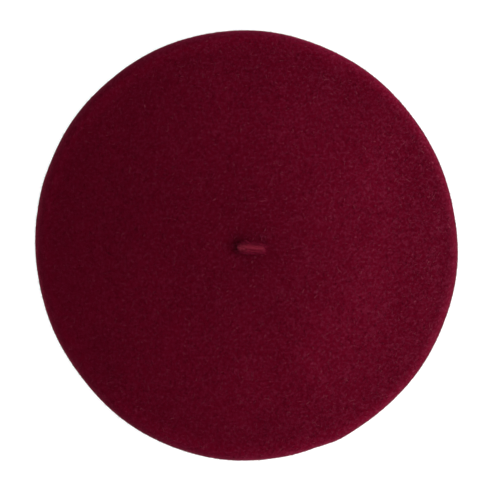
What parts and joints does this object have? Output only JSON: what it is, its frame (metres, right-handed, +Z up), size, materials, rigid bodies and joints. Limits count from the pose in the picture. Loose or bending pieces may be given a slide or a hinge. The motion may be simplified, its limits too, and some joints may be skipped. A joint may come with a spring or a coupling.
{
  "type": "beret",
  "caption": "Round felt beret lying crown up, with a low dome, a turned-under rim, an open underside for the head and a short felt stalk on its middle.",
  "frame": {"origin": "on the surface that the beret lies on, under the middle of its bounding box", "axes": "+Z up out of the crown, +X the way the stalk lies, +Y to the left of the stalk seen from above"},
  "size_m": [0.28, 0.2852, 0.0382],
  "materials": {
    "wool_felt": "matte burgundy wool felt with a fine mottled nap",
    "stalk_felt": "matte burgundy felt, lighter and redder, streaked along its length with loose fibres"
  },
  "bodies": {
    "root": {"crown": "wool_felt", "stalk": "stalk_felt"}
  },
  "joints": []
}
